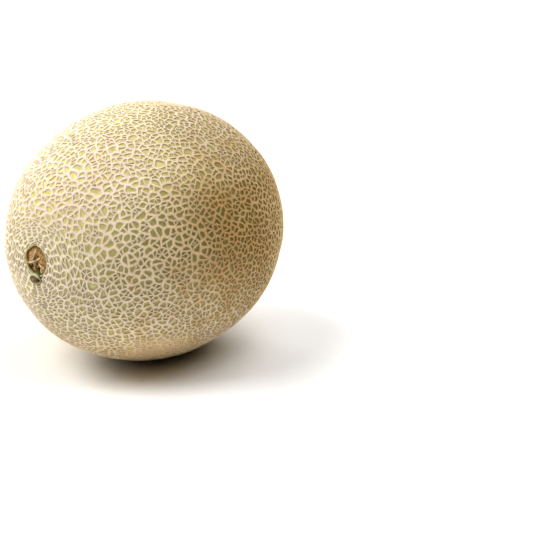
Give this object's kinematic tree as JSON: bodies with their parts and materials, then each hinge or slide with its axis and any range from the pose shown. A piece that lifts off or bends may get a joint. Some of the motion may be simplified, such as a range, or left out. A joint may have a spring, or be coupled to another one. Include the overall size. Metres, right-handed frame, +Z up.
{
  "type": "cantaloupe melon",
  "caption": "Whole netted melon, a slightly long oval lying on its side on a small flat spot, with a dished stem scar at one end and a small blossom scar at the other.",
  "frame": {"origin": "on the surface that the melon lies on, under the middle of its bounding box", "axes": "+X along the melon's long axis towards the blossom end, the stem scar facing -X; +Z up; -Y the side that shows with the stem end at the left"},
  "size_m": [0.1721, 0.1496, 0.1476],
  "materials": {
    "rind": "raised cream cork net over a dull yellow-green to olive skin"
  },
  "bodies": {
    "root": {"melon": "rind"}
  },
  "joints": []
}
